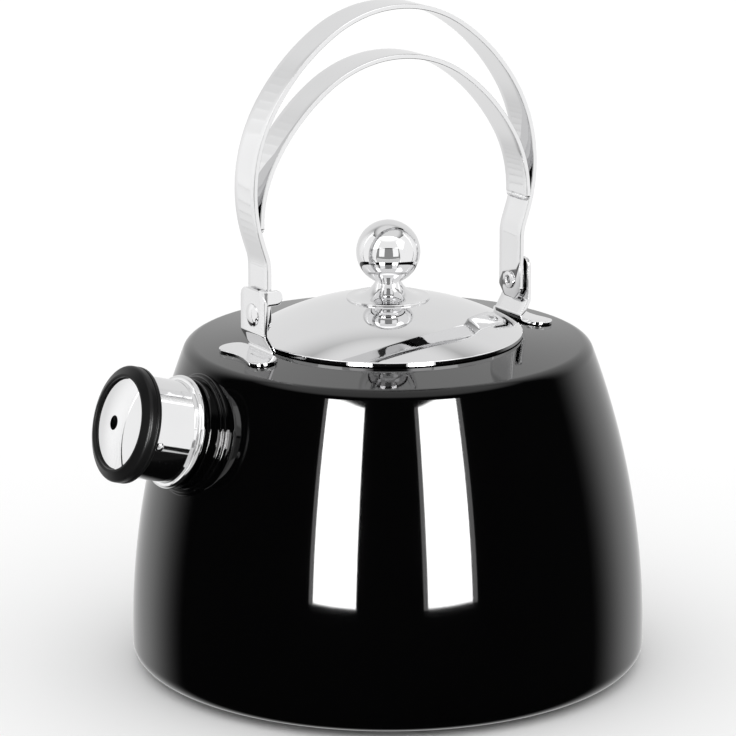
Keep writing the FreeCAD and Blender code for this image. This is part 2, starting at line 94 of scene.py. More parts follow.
class KettleSizes(bpy.types.PropertyGroup):
    """Sizes of the kettle's pieces; the defaults follow the CAD model."""

    body_radius: length("Body radius", "Widest radius, just above the base",
                        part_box("body_shell")[1].x)
    widest_height: length("Widest height", "Height of the widest circle", 8.5 * MM)
    side_bow: length("Side bow", "Radius of the bowed side", 327 * MM)
    flange_height: length("Flange height", "Underside of the bottom flange",
                          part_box("body_shell")[0].z)
    flange_radius: length("Flange radius", "Inner radius of the bottom flange", 88 * MM)
    base_round: length("Base rounding", "Radius of the bottom corner", 6.5 * MM)
    shoulder_round: length("Shoulder rounding", "Radius of the shoulder corner", 5 * MM)
    roof_slope: angle("Roof slope", "How steeply the top rises towards the mouth", 5.0)
    roof_radius: length("Roof radius", "Radius at which the roof height is given", 52 * MM)
    roof_height: length("Roof height", "Height of the top at the roof radius", 129 * MM)
    mouth_radius: length("Mouth radius", "Inside radius of the mouth collar", 46 * MM)
    mouth_bottom: length("Mouth bottom", "Lower edge of the mouth collar", 121 * MM)
    wall: length("Wall", "Thickness of the shell and the spout tube", 1 * MM)
    spout_tilt: angle("Spout tilt", "Angle of the spout above the horizontal", 16.0)
    spout_reach: length("Spout reach", "Distance from the axis to the spout's root", 86.8 * MM)
    spout_height: length("Spout height", "Height of the spout's root", 101.4 * MM)
    tube_radius: length("Tube radius", "Outside radius of the spout tube", 17.9 * MM)
    sleeve_radius: length("Sleeve radius", "Outside radius of the whistle's sleeve", 19.25 * MM)
    grip_radius: length("Grip radius", "Outside radius of the whistle's grip ring", 21.9 * MM)
    disc_radius: length("Disc radius", "Radius of the whistle's front disc", 17.2 * MM)
    lid_radius: length("Lid radius", "Outside radius of the lid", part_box("lid_shell")[1].x)
    lid_rim: length("Lid rim", "Height of the lid's turned-down edge", 1.5 * MM)
    lid_rise: length("Lid rise", "Rise of the dome above the edge", 13.8 * MM)
    lid_wall: length("Lid wall", "Thickness of the lid", 0.8 * MM)
    ball_radius: length("Ball radius", "Radius of the knob's ball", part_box("knob_ball")[1].x)
    neck_radius: length("Neck radius", "Radius of the knob's neck", 4.9 * MM)
    rose_radius: length("Rose radius", "Radius of the flared knob base", 16.1 * MM)
    strap_thickness: length("Strap thickness", "Thickness of the handle straps", 1.8 * MM)
    strap_width: length("Strap width", "Width of the handle straps",
                        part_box("handle_outer")[1].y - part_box("handle_outer")[0].y)
    plate_thickness: length("Plate thickness", "Thickness of the brackets", 1.5 * MM)
    plate_width: length("Plate width", "Width of the brackets", 18.5 * MM)


class KettleColours(bpy.types.PropertyGroup):
    """Colours of the kettle's finishes."""

    enamel: colour("Enamel", "Glossy black coating", (0.0009, 0.0009, 0.0010, 1.0))
    steel: colour("Polished steel", "Mirror-polished steel", (0.79, 0.79, 0.795, 1.0))
    base_steel: colour("Base steel", "Turned steel under the base", (0.56, 0.56, 0.565, 1.0))
    aluminium: colour("Aluminium", "Heat spreader", (0.66, 0.67, 0.68, 1.0))
    plastic: colour("Plastic", "Grip ring of the whistle", (0.0065, 0.0065, 0.0068, 1.0))
    floor: colour("Floor", "Studio floor", (0.86, 0.86, 0.86, 1.0))


# ---------------------------------------------------------------- shader maths
class Value:
    """A socket that holds a number, so that a formula written in Python adds its Math nodes."""

    def __init__(self, shader, socket):
        self.shader = shader
        self.socket = socket

    def _maths(self, operation, first, second):
        made = self.shader.node("ShaderNodeMath", {"operation": operation}, {0: first, 1: second})
        return Value(self.shader, made.outputs[0])

    def __add__(self, other):
        return self._maths("ADD", self, other)

    def __radd__(self, other):
        return self._maths("ADD", other, self)

    def __mul__(self, other):
        return self._maths("MULTIPLY", self, other)

    def __rmul__(self, other):
        return self._maths("MULTIPLY", other, self)

    def sine(self):
        """Sine of this value, taken as radians."""
        return self._maths("SINE", self, 0.0)


class Shader:
    """A material under construction."""

    def __init__(self, name):
        self.material = bpy.data.materials.new(name)
        self.material.use_nodes = True
        self.tree = self.material.node_tree
        self.tree.nodes.clear()

    def node(self, kind, settings=None, inputs=None):
        """Adds one node: its settings first, then a value or a link for each named socket."""
        made = self.tree.nodes.new(kind)
        for key, value in (settings or {}).items():
            setattr(made, key, value)
        for key, value in (inputs or {}).items():
            if isinstance(value, Value):
                self.tree.links.new(value.socket, made.inputs[key])
            else:
                made.inputs[key].default_value = value
        return made

    def out(self, kind, settings=None, inputs=None, output=0):
        """Adds one node and gives one of its outputs as a Value."""
        return Value(self, self.node(kind, settings, inputs).outputs[output])

    def place(self):
        """The point on the piece, in the kettle's own frame."""
        return self.out("ShaderNodeTexCoord", output="Object")

    def stretched(self, scale):
        """The point on the piece with each axis scaled, which stretches a pattern."""
        return self.out("ShaderNodeMapping", {}, {"Vector": self.place(), "Scale": scale})

    def noise(self, scale, detail=2.0, vector=None):
        """Smooth noise between 0 and 1; the scale is in cells per metre."""
        return self.out("ShaderNodeTexNoise", {},
                        {"Vector": vector or self.place(), "Scale": scale, "Detail": detail})

    def blend(self, factor, first, second):
        """Mix of two colours by a factor."""
        return self.out("ShaderNodeMix", {"data_type": "RGBA"},
                        {0: factor, 6: first, 7: second}, output=2)

    def bump(self, height, strength, distance):
        """Surface relief of the given height field."""
        return self.out("ShaderNodeBump", {},
                        {"Height": height, "Strength": strength, "Distance": distance})

    def finish(self, **inputs):
        """Ends the material with one Principled shader."""
        named = {key.replace("_", " "): value for key, value in inputs.items()}
        shader = self.out("ShaderNodeBsdfPrincipled", {}, named)
        self.node("ShaderNodeOutputMaterial", {}, {"Surface": shader})
        return self.material


def tint(rgba, factor):
    """The colour multiplied by a factor."""
    return (rgba[0] * factor, rgba[1] * factor, rgba[2] * factor, 1.0)


def enamel_material(c):
    """Glossy black stoved coating with a faint ripple and slightly uneven gloss."""
    s = Shader("black_enamel")
    cloud = s.noise(14.0, 3.0)
    ripple = s.noise(260.0, 1.0)
    return s.finish(
        Base_Color=s.blend(cloud, tint(c.enamel, 0.7), tint(c.enamel, 1.3)),
        Roughness=0.022 + 0.03 * s.noise(55.0, 4.0), IOR=1.48,
        Normal=s.bump(ripple, 0.06, 0.02 * MM))


def polished_material(name, c, stretch, gloss):
    """Mirror-polished steel; the polishing lines run along the least stretched axis."""
    s = Shader(name)
    lines = s.noise(1.0, 3.0, s.stretched(stretch))
    cloud = s.noise(30.0, 2.0)
    return s.finish(
        Base_Color=s.blend(cloud, tint(c.steel, 0.94), tint(c.steel, 1.04)), Metallic=1.0,
        Roughness=gloss + 0.05 * lines * cloud,
        Normal=s.bump(lines, 0.05, 0.01 * MM))


def turned_material(c):
    """Turned steel: fine rings about the kettle's axis."""
    s = Shader("plain_steel")
    flat = s.out("ShaderNodeVectorMath", {"operation": "MULTIPLY"},
                 {0: s.place(), 1: (1.0, 1.0, 0.0)})
    radius = s.out("ShaderNodeVectorMath", {"operation": "LENGTH"}, {0: flat}, output="Value")
    wander = s.noise(40.0, 2.0)
    rings = (radius * (2 * math.pi / (0.7 * MM)) + 6.0 * wander).sine()
    return s.finish(
        Base_Color=s.blend(wander, tint(c.base_steel, 0.85), tint(c.base_steel, 1.1)),
        Metallic=1.0, Roughness=0.24 + 0.14 * wander,
        Normal=s.bump(rings * 0.5 + 0.5, 0.25, 0.05 * MM))


def pressed_material(c):
    """Dull pressed aluminium with a fine grain."""
    s = Shader("aluminium_core")
    grain = s.noise(900.0, 3.0)
    return s.finish(
        Base_Color=s.blend(grain, tint(c.aluminium, 0.85), tint(c.aluminium, 1.1)),
        Metallic=1.0, Roughness=0.4 + 0.15 * s.noise(60.0),
        Normal=s.bump(grain, 0.2, 0.03 * MM))


def plastic_material(c):
    """Satin black moulded plastic with a fine moulded texture."""
    s = Shader("black_plastic")
    grain = s.noise(1400.0, 2.0)
    cloud = s.noise(60.0, 2.0)
    return s.finish(
        Base_Color=s.blend(cloud, tint(c.plastic, 0.8), tint(c.plastic, 1.25)),
        Roughness=0.3 + 0.1 * cloud, IOR=1.3,
        Normal=s.bump(grain, 0.12, 0.03 * MM))


def floor_material(c):
    """Plain pale studio floor."""
    s = Shader("studio_floor")
    return s.finish(
        Base_Color=s.blend(s.noise(2.0, 2.0), tint(c.floor, 0.99), tint(c.floor, 1.0)),
        Roughness=0.62 + 0.06 * s.noise(8.0), Specular_IOR_Level=0.0)


# polished finishes: how finely the polishing lines run along each axis, and the roughness
POLISH = {
    "lid_steel": ((60.0, 60.0, 60.0), 0.02),
    "knob_steel": ((200.0, 200.0, 700.0), 0.02),
    "strap_steel": ((90.0, 1500.0, 90.0), 0.03),
    "bracket_steel": ((240.0, 240.0, 240.0), 0.05),
    "sleeve_steel": ((1500.0, 70.0, 300.0), 0.04),
}
MAKERS = {
    "black_enamel": enamel_material,
    "plain_steel": turned_material,
    "aluminium_core": pressed_material,
    "black_plastic": plastic_material,
    "studio_floor": floor_material,
}
FINISHED = {}


def material(name):
    """The finish of that name, made the first time that it is asked for."""
    if name not in FINISHED:
        c = bpy.context.scene.kettle_colours
        if name in POLISH:
            FINISHED[name] = polished_material(name, c, *POLISH[name])
        else:
            FINISHED[name] = MAKERS[name](c)
    return FINISHED[name]


# ---------------------------------------------------------------- outlines
def unit(v):
    """Vectors scaled to length one."""
    v = np.asarray(v, float)
    return v / np.linalg.norm(v, axis=-1, keepdims=True)


def rounded(corners, steps=8, closed=False):
    """Outline through (x, z, radius) corners.

    A corner with a radius becomes the arc of that radius that touches both of its
    sides; short straight stretches beside each arc keep the flats flat.
    """
    places = np.array([c[:2] for c in corners], float)
    count = len(corners)
    points = []
    for i, (x, z, radius) in enumerate(corners):
        at = places[i]
        if radius == 0 or (not closed and i in (0, count - 1)):
            points.append(at[None])
            continue
        before = unit(places[i - 1] - at)
        after = unit(places[(i + 1) % count] - at)
        half = 0.5 * math.acos(float(np.clip(before @ after, -1, 1)))
        reach = radius / math.tan(half)
        centre = at + unit(before + after) * radius / math.sin(half)
        start, end = at + before * reach, at + after * reach
        sweep = math.pi - 2 * half
        t = np.linspace(0, 1, steps + 1)[:, None]
        bend = centre + (np.sin((1 - t) * sweep) * (start - centre)
                         + np.sin(t * sweep) * (end - centre)) / math.sin(sweep)
        points += [(start + before * SUPPORT)[None], bend, (end + after * SUPPORT)[None]]
    return np.concatenate(points)


def arc_points(a, m, b, steps):
    """Points of the circle through a, m and b, from a to b."""
    (ax, ay), (mx, my), (bx, by) = a, m, b
    d = 2 * (ax * (my - by) + mx * (by - ay) + bx * (ay - my))
    aa, mm, bb = ax * ax + ay * ay, mx * mx + my * my, bx * bx + by * by
    centre = np.array([(aa * (my - by) + mm * (by - ay) + bb * (ay - my)) / d,
                       (aa * (bx - mx) + mm * (ax - bx) + bb * (mx - ax)) / d])
    turns = [math.atan2(p[1] - centre[1], p[0] - centre[0]) for p in (a, m, b)]
    turns = np.unwrap(turns)
    t = np.linspace(turns[0], turns[2], steps + 1)
    radius = math.dist(a, centre)
    return np.stack([centre[0] + radius * np.cos(t), centre[1] + radius * np.sin(t)], -1)


def normals_2d(path):
    """Unit normals of an open path, turned a quarter to the left of its direction."""
    along = unit(np.gradient(path, axis=0))
    return np.stack([-along[:, 1], along[:, 0]], -1)


def sheet_outline(path, thickness):
    """Closed outline of a sheet: the path, then the path moved sideways to its left."""
    return np.concatenate([path, (path + normals_2d(path) * thickness)[::-1]])


def resampled(path, step, least=0.0):
    """Path with a point every step and at its own corners, and each point's distance along it."""
    gaps = np.linalg.norm(np.diff(path, axis=0), axis=1)
    run = np.concatenate([[0], np.cumsum(gaps)])
    fine = np.unique(np.concatenate([run, np.arange(0, run[-1], step)]))
    fine = fine[np.concatenate([[True], np.diff(fine) > least])]
    return np.stack([np.interp(fine, run, path[:, 0]), np.interp(fine, run, path[:, 1])], -1), fine


def corner_inset(to_end, corner):
    """How far a rounded corner draws the edge in, at a distance from the end."""
    down = np.clip(corner - to_end, 0, corner)
    return corner - np.sqrt(corner ** 2 - down ** 2)


def cap_radius(radius, rise):
    """Radius of the sphere whose cap has this radius and rise."""
    return (radius ** 2 + rise ** 2) / (2 * rise)


def cap_points(r, middle, ball):
    """Points at the radii r on a sphere centred on the axis at the height middle."""
    return np.stack([r, middle + np.sqrt(ball ** 2 - r ** 2)], -1)


# ---------------------------------------------------------------- surfaces
def lathe(outline, turns=256):
    """Surface of revolution: each (r, z) of the outline becomes a ring about Z."""
    t = np.linspace(0, 2 * math.pi, turns, endpoint=False)
    r, z = outline[:, 0, None], outline[:, 1, None]
    return np.stack([r * np.cos(t), r * np.sin(t), z + 0 * t], -1)


def spout_axes():
    """Origin and the three directions of the spout's own frame; the last is its axis."""
    s = bpy.context.scene.kettle_sizes
    up = np.array([math.sin(s.spout_tilt), 0.0, math.cos(s.spout_tilt)])
    out = np.array([-math.cos(s.spout_tilt), 0.0, math.sin(s.spout_tilt)])
    return np.array([-s.spout_reach, 0.0, s.spout_height]), up, np.array([0.0, 1.0, 0.0]), out


def along_spout(grid):
    """Carries points given about Z onto the spout's axis."""
    origin, up, side, out = spout_axes()
    return origin + grid[..., 0:1] * up + grid[..., 1:2] * side + grid[..., 2:3] * out


def along_hinge(grid, side):
    """Carries points given about Z onto the hinge line, pointing outwards on one side."""
    x, y, z = grid[..., 0], grid[..., 1], grid[..., 2]
    return np.stack([side * z, side * y, RIVET_Z + x], -1)


def side_radius(z, grow=0.0):
    """Radius of the bowed side at height z: a large circle about a far centre."""
    s = bpy.context.scene.kettle_sizes
    return s.body_radius - s.side_bow + np.sqrt((s.side_bow + grow) ** 2 - (z - s.widest_height) ** 2)


def roof_height(r):
    """Height of the conical top at radius r."""
    s = bpy.context.scene.kettle_sizes
    return s.roof_height - (r - s.roof_radius) * math.tan(s.roof_slope)


def shoulder_point():
    """Radius and height at which the side and the top would meet if not rounded."""
    z = roof_height(side_radius(0.12))
    for _ in range(12):
        z = roof_height(side_radius(z))
    return float(side_radius(z)), float(z)


def reach_side(rho, turn, grow):
    """Distance along the spout's axis to the body's side, grown outwards by grow.

    Newton's method on: distance from the kettle's axis minus the side's radius there.
    """
    origin, up, side, out = spout_axes()
    s = np.zeros(np.broadcast(rho, turn).shape)
    start = (origin + (rho * np.cos(turn))[..., None] * up
             + (rho * np.sin(turn))[..., None] * side)

    def miss(distance):
        p = start + distance[..., None] * out
        return np.hypot(p[..., 0], p[..., 1]) - side_radius(p[..., 2], grow)

    small = 0.01 * MM
    for _ in range(12):
        now = miss(s)
        s = s - now * small / (miss(s + small) - now)
    return s


def strip(path, half_width, thickness, edge=EDGE, corner_steps=4):
    """Bent metal strip: a rounded rectangle carried along a path in the XZ plane.

    The path is the middle of the sheet.  At each end the section shrinks along a quarter
    circle and then closes on its own middle line, so that the ends are rounded too.
    """
    along = unit(np.gradient(path, axis=0))
    across = np.stack([-along[:, 1], along[:, 0]], -1)
    half = np.full(len(path), thickness / 2)
    width = np.broadcast_to(half_width, (len(path),)).astype(float)
    q = np.linspace(0, math.pi / 2, corner_steps + 1)[1:]
    forward, shrink = edge * np.sin(q), edge * (1 - np.cos(q))

    def cap(i, sign):
        centre = path[i] + sign * (forward[:, None] - edge) * along[i]
        return (centre, np.repeat(across[i][None], len(q), 0), half[i] - shrink, width[i] - shrink)

    first, last = cap(0, -1.0), cap(-1, 1.0)
    inner = slice(1, -1)
    centre = np.concatenate([first[0][::-1], path[inner], last[0]])
    normal = np.concatenate([first[1], across[inner], last[1]])
    half = np.concatenate([first[2][::-1], half[inner], last[2]])
    width = np.concatenate([first[3][::-1], width[inner], last[3]])

    a = np.linspace(0, math.pi / 2, corner_steps + 1)
    angles = np.concatenate([a, a + math.pi / 2, a + math.pi, a + 1.5 * math.pi])
    sy = np.repeat([1, -1, -1, 1], corner_steps + 1)
    sd = np.repeat([1, 1, -1, -1], corner_steps + 1)
    y = sy * (width[:, None] - edge) + edge * np.cos(angles)
    d = sd * (half[:, None] - edge) + edge * np.sin(angles)
    y = np.concatenate([y[:1], y, y[-1:]])
    d = np.concatenate([0 * d[:1], d, 0 * d[-1:]])
    centre = np.concatenate([centre[:1], centre, centre[-1:]])
    normal = np.concatenate([normal[:1], normal, normal[-1:]])

    # extra columns across both wide faces keep them flat
    shares = np.linspace(1, 0, 7)[1:-1]
    upper, lower = corner_steps, 3 * (corner_steps + 1) - 1

    def between(field, column):
        pair = field[:, column], field[:, column + 1]
        return np.stack([pair[0] * f + pair[1] * (1 - f) for f in shares], 1)

    def widened(field):
        return np.concatenate([field[:, :upper + 1], between(field, upper),
                               field[:, upper + 1:lower + 1], between(field, lower),
                               field[:, lower + 1:]], 1)

    y, d = widened(y), widened(d)
    x = centre[:, 0, None] + d * normal[:, 0, None]
    z = centre[:, 1, None] + d * normal[:, 1, None]
    return np.stack([x, y, z], -1)


def skin(name, grids, closed_rows=True, sharp=35.0):
    """Mesh object from one or more grids of points; columns always close on themselves."""
    corners, faces, offset = [], [], 0
    for grid in grids:
        rows, cols = grid.shape[:2]
        index = np.arange(rows * cols).reshape(rows, cols) + offset
        right = np.roll(index, -1, axis=1)
        if closed_rows:
            quads = np.stack([index, right, np.roll(right, -1, 0), np.roll(index, -1, 0)], -1)
        else:
            quads = np.stack([index[:-1], right[:-1], right[1:], index[1:]], -1)
        corners.append(grid.reshape(-1, 3))
        faces.append(quads.reshape(-1, 4))
        offset += rows * cols
    mesh = bpy.data.meshes.new(name)
    mesh.from_pydata(np.concatenate(corners).tolist(), [], np.concatenate(faces).tolist())
    work = bmesh.new()
    work.from_mesh(mesh)
    bmesh.ops.remove_doubles(work, verts=work.verts, dist=1e-7)
    bmesh.ops.dissolve_degenerate(work, edges=work.edges, dist=1e-8)
    bmesh.ops.recalc_face_normals(work, faces=work.faces)
    work.to_mesh(mesh)
    work.free()
    mesh.shade_smooth()
    mesh.set_sharp_from_angle(angle=math.radians(sharp))
    piece = bpy.data.objects.new(name, mesh)
    bpy.context.collection.objects.link(piece)
    return piece


def bored(piece, cutters):
    """Cuts closed cutter pieces out of a piece and throws the cutters away."""
    for cutter in cutters:
        cut = piece.modifiers.new("bore", "BOOLEAN")
        cut.operation = "DIFFERENCE"
        cut.solver = "EXACT"
        cut.object = cutter
    bpy.context.view_layer.update()
    graph = bpy.context.evaluated_depsgraph_get()
    mesh = bpy.data.meshes.new_from_object(piece.evaluated_get(graph))
    piece.modifiers.clear()
    piece.data = mesh
    for cutter in cutters:
        bpy.data.objects.remove(cutter)
    return piece


def sort_by_panels(piece, finish):
    """Sorts a piece by the panels that show in it: those for steel or those for dark gloss."""
    group = bpy.data.collections.get("steel_pieces" if "steel" in finish else "dark_pieces")
    if group:
        group.objects.link(piece)


def dress(piece, finish, body, slot, *nodes):
    """Gives a new piece its finish and body, and hides the CAD nodes that it stands for; the slot is not
    used.
    """
    sort_by_panels(piece, finish)
    piece.data.materials.clear()
    piece.data.materials.append(material(finish))
    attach(piece, body)
    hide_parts(*nodes)
    return piece


def dress_node(node, finish):
    """Gives a CAD node that stays visible its finish."""
    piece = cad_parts[node]
    if not piece.material_slots:
        piece.data.materials.append(None)
    for holder in piece.material_slots:
        holder.material = material(finish)


def rod(radius, low, high, turns=64):
    """Closed cylinder about Z as a grid, used as a cutter."""
    outline = np.array([[0, low], [radius, low], [radius, high], [0, high]])
    return lathe(outline, turns)


# ---------------------------------------------------------------- operators
class KETTLE_OT_shell(bpy.types.Operator):
    """Builds the glossy shell: bowed side, rounded shoulder, conical top and mouth"""

    bl_idname = "kettle.shell"
    bl_label = "Shell"

    def execute(self, context):
        s = context.scene.kettle_sizes
        r_top, z_top = shoulder_point()
        r_low = s.body_radius
        centre = (r_low - s.base_round, s.flange_height + s.base_round)
        t = np.linspace(-math.pi / 2, 0, 15)
        foot = np.stack([centre[0] + s.base_round * np.cos(t),
                         centre[1] + s.base_round * np.sin(t)], -1)
        z = np.linspace(s.widest_height, z_top - 5.0 * MM, 70)[1:]
        side = np.stack([side_radius(z), z], -1)
        mouth = (s.mouth_radius, roof_height(s.mouth_radius))
        top = rounded([(*side[-1], 0), (r_top, z_top, s.shoulder_round),
                       (*mouth, 1.9 * MM), (s.mouth_radius, s.mouth_bottom, 0)], 14)[1:]
        flange = np.array([[s.flange_radius, s.flange_height],
                           [centre[0] - 0.5 * MM, s.flange_height]])
        outline = sheet_outline(np.concatenate([flange, foot, side, top]), s.wall)
        shell = skin("body_shell_skin", [lathe(outline, 288)])
        hole = skin("spout_hole", [along_spout(rod(s.tube_radius, -14 * MM, 16 * MM))], False)
        bored(shell, [hole])
        dress(shell, "black_enamel", "kettle", "black_enamel", "body_shell")
        return {"FINISHED"}


class KETTLE_OT_base(bpy.types.Operator):
    """Builds the turned base cap and gives the inner base its finishes"""

    bl_idname = "kettle.base"
    bl_label = "Base"

    def execute(self, context):
        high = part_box("base_cap")[1]
        radius, wall = high.x, 0.8 * MM
        grooves = [(r * MM, r * MM + 0.9 * MM) for r in (22.0, 46.0, 70.0)]
        corners = [(0.0, 0.0, 0)]
        for inner, outer in grooves:
            corners += [(inner, 0.0, 0.1 * MM), (inner + 0.2 * MM, 0.25 * MM, 0.1 * MM),
                        (outer - 0.2 * MM, 0.25 * MM, 0.1 * MM), (outer, 0.0, 0.1 * MM)]
        corners += [(radius, 0.0, 1.6 * MM), (radius, high.z, 0), (radius - wall, high.z, 0),
                    (radius - wall, wall, 0.6 * MM), (0.0, wall, 0)]
        cap = skin("base_cap_skin", [lathe(rounded(corners, 6), 192)], False)
        dress(cap, "plain_steel", "kettle", "plain_steel", "base_cap")
        dress_node("base_pan", "plain_steel")
        dress_node("heat_spreader", "aluminium_core")
        return {"FINISHED"}


class KETTLE_OT_spout(bpy.types.Operator):
    """Builds the spout tube and the stepped saddle flange around its root"""

    bl_idname = "kettle.spout"
    bl_label = "Spout"

    def execute(self, context):
        s = context.scene.kettle_sizes
        inner, outer = s.tube_radius - s.wall, s.tube_radius
        low, high = -6 * MM, 21 * MM
        ends = rounded([(inner, low, 0.3 * MM), (outer, low, 0.3 * MM),
                        (outer, high, 0.45 * MM), (inner, high, 0.45 * MM)], 5, True)
        tube = skin("spout_tube_skin", [along_spout(lathe(ends, 160))])
        dress(tube, "black_enamel", "kettle", "black_enamel", "spout_tube")

        # profile of the flange as (distance from the spout's axis, height above the side)
        base_radius, step_radius, neck_radius = 23.3 * MM, 22.1 * MM, 20.8 * MM
        base_top, step_top, neck_top = 1.3 * MM, 2.4 * MM, 3.6 * MM
        hole = outer + 0.01 * MM
        saddle = rounded([(hole, FIT, 0), (base_radius, FIT, 0),
                          (base_radius, base_top, 0.55 * MM), (step_radius, base_top, 0.2 * MM),
                          (step_radius, step_top, 0.5 * MM), (neck_radius, step_top, 0)], 6)
        turn = np.linspace(0, 2 * math.pi, 192, endpoint=False)[None]
        rise = reach_side(saddle[:, 0, None], turn, saddle[:, 1, None])
        rho = saddle[:, 0, None] + 0 * turn
        # the neck stands square to the spout's axis
        neck = rounded([(neck_radius, 2.2 * MM, 0), (neck_radius, neck_top, 0.5 * MM),
                        (hole, neck_top, 0)], 6)[1:]
        rho = np.concatenate([rho, neck[:, 0, None] + 0 * turn])
        rise = np.concatenate([rise, neck[:, 1, None] + 0 * turn])
        grid = np.stack([rho * np.cos(turn), rho * np.sin(turn), rise], -1)
        flange = skin("spout_flange_skin", [along_spout(grid)])
        dress(flange, "black_enamel", "kettle", "black_enamel", "spout_flange")
        return {"FINISHED"}


class KETTLE_OT_whistle(bpy.types.Operator):
    """Builds the pull-off whistle: sleeve, bead, pins, grip ring and domed disc"""

    bl_idname = "kettle.whistle"
    bl_label = "Whistle"

    def execute(self, context):
        s = context.scene.kettle_sizes
        bore, outer = 18.3 * MM, s.sleeve_radius
        hole, plate = 2.75 * MM, 0.7 * MM
        start, end = 5.2 * MM, 29.5 * MM
        bead = arc_points((outer, start + 3.15 * MM), (21.5 * MM, start + 1.7 * MM),
                          (19.6 * MM, start + 0.13 * MM), 16)
        outline = np.concatenate([
            rounded([(bore, start + 1.3 * MM, 0), (bore, end, 0), (outer, end, 0),
                     (outer, start + 4.2 * MM, 0.9 * MM), (outer + 0.35 * MM, start + 3.3 * MM, 0)], 5),
            bead[2:],
            rounded([(19.2 * MM, start, 0), (bore, start, 0.4 * MM), (bore, start + 0.9 * MM, 0)], 5)])
        sleeve = skin("whistle_sleeve_skin", [along_spout(lathe(outline, 192))])
        dress(sleeve, "sleeve_steel", "whistle", "polished_steel", "whistle_sleeve")

        # pin heads: small domes on the sleeve
        pin_radius, pin_rise, pin_at = 1.75 * MM, 1.3 * MM, 22.3 * MM
        t = np.linspace(0, math.pi / 2, 10)
        dome = np.stack([pin_radius * np.cos(t), outer - 0.15 * MM + pin_rise * np.sin(t)], -1)
        dome = np.concatenate([[[0, outer - 0.5 * MM]], [[pin_radius, outer - 0.5 * MM]], dome])
        heads = []
        for degrees in (-100.0, 80.0):
            a = math.radians(degrees)
            d = lathe(dome, 40)
            x = d[..., 2] * math.cos(a) - d[..., 1] * math.sin(a)
            y = d[..., 2] * math.sin(a) + d[..., 1] * math.cos(a)
            heads.append(along_spout(np.stack([x, y, pin_at + d[..., 0]], -1)))
        pins = skin("whistle_pins_skin", heads, False)
        dress(pins, "knob_steel", "whistle", "polished_steel", "whistle_pins")

        # grip ring: rounded back lip, groove, long chamfer and a lip over the disc's edge
        r, s0, s1 = s.grip_radius, 24.8 * MM, 31.3 * MM
        inner, lip_in, lip_at = outer + FIT, 17.35 * MM, 30.25 * MM
        ring = rounded([
            (inner, s0, 0), (r, s0, 0.9 * MM), (r, s0 + 1.6 * MM, 0.3 * MM),
            (r - 0.6 * MM, s0 + 1.95 * MM, 0.15 * MM), (r, s0 + 2.3 * MM, 0.3 * MM),
            (r, s1 - 1.7 * MM, 1.5 * MM), (lip_in + 1.0 * MM, s1, 0.6 * MM), (lip_in, s1, 0.25 * MM),
            (lip_in, lip_at, 0), (inner, lip_at, 0)], 7, True)
        grip = skin("whistle_grip_skin", [along_spout(lathe(ring, 160))], True, 50.0)
        dress(grip, "black_plastic", "whistle", "black_plastic", "whistle_grip")

        # domed disc with a small hole; its flat edge is held under the grip's lip
        rise = 2.6 * MM
        ball = cap_radius(s.disc_radius, rise)
        middle = end + plate + rise - ball
        r = np.linspace(hole, s.disc_radius, 40)
        front = cap_points(r, middle, ball)
        rim = outer - 0.05 * MM
        edge = np.array([[rim, end + plate], [rim, end + FIT],
                         [s.disc_radius - 1.2 * MM, end + FIT]])
        r = np.linspace(s.disc_radius - 1.6 * MM, hole, 40)
        rear = cap_points(r, middle, ball - plate)
        disc = skin("whistle_disc_skin", [along_spout(lathe(np.concatenate([front, edge, rear]), 192))])
        dress(disc, "lid_steel", "whistle", "polished_steel", "whistle_front_disc")
        for node in ("whistle_back_disc", "whistle_spacer"):
            dress_node(node, "plain_steel")
        return {"FINISHED"}


def lid_dome():
    """Centre height and radius of the lid's sphere."""
    s = bpy.context.scene.kettle_sizes
    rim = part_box("lid_shell")[0].z + s.lid_rim
    ball = cap_radius(s.lid_radius, s.lid_rise)
    return rim + s.lid_rise - ball, ball


class KETTLE_OT_lid(bpy.types.Operator):
    """Builds the domed lid with its turned-down edge"""

    bl_idname = "kettle.lid"
    bl_label = "Lid"

    def execute(self, context):
        s = context.scene.kettle_sizes
        middle, ball = lid_dome()
        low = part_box("lid_shell")[0].z
        r = np.linspace(SCREW_HOLE, s.lid_radius - 1.2 * MM, 90)
        dome = cap_points(r, middle, ball)
        edge = rounded([tuple(dome[-1]) + (0,), (s.lid_radius, low + s.lid_rim, 0.5 * MM),
                        (s.lid_radius, low + 0.05 * MM, 0)], 8)[1:]
        path = np.concatenate([dome, edge])[::-1]
        lid = skin("lid_shell_skin", [lathe(sheet_outline(path, s.lid_wall), 256)])
        dress(lid, "lid_steel", "lid", "polished_steel", "lid_shell")
        for node in ("lid_skirt", "knob_washer", "knob_screw"):
            dress_node(node, "plain_steel")
        return {"FINISHED"}


